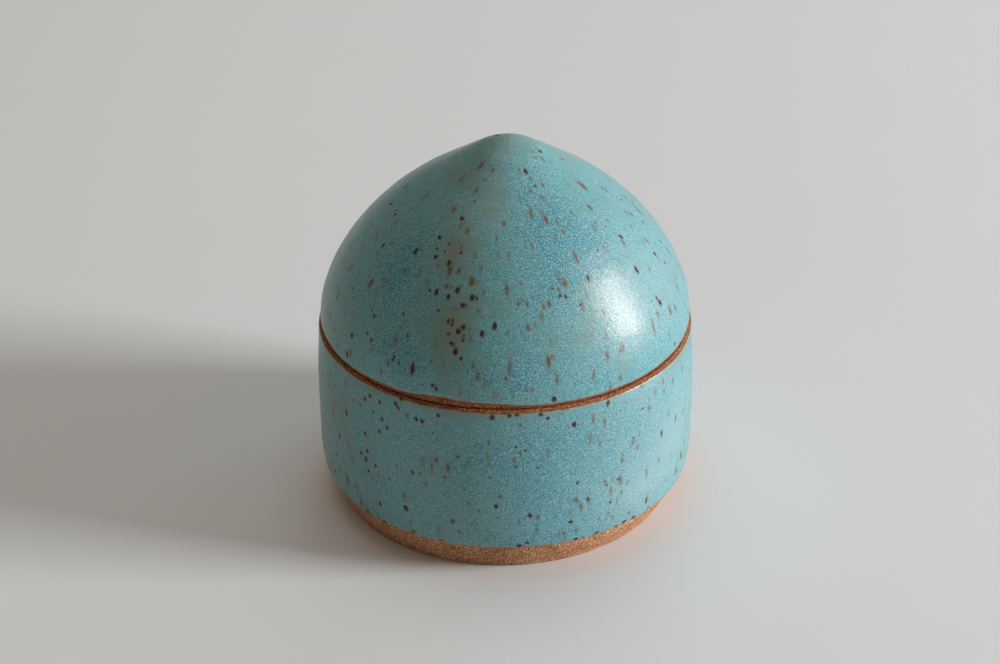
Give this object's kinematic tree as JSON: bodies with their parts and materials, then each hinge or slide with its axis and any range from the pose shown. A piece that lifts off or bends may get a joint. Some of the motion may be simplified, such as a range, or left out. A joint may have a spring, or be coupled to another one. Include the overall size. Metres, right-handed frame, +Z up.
{
  "type": "lidded jar",
  "caption": "Round turquoise-glazed stoneware jar with a straight wall, a bare clay foot and a hollow domed lift-off lid that rises to a soft point.",
  "frame": {"origin": "on the table under the centre of the jar's foot ring", "axes": "+Z up along the axis that the jar and the lid were turned around; the jar is round, so +X and +Y are any two horizontal directions"},
  "size_m": [0.1, 0.1, 0.1004],
  "materials": {
    "turquoise_glaze": "satin",
    "bare_stoneware": "matte"
  },
  "bodies": {
    "jar": {"jar_body": "turquoise_glaze"},
    "lid": {"dome_lid": "turquoise_glaze"}
  },
  "joints": [
    {"name": "lid_lift", "type": "slide", "parent": "jar", "child": "lid", "axis": [0, 0, 1], "range_m": [0, 0.08]}
  ]
}
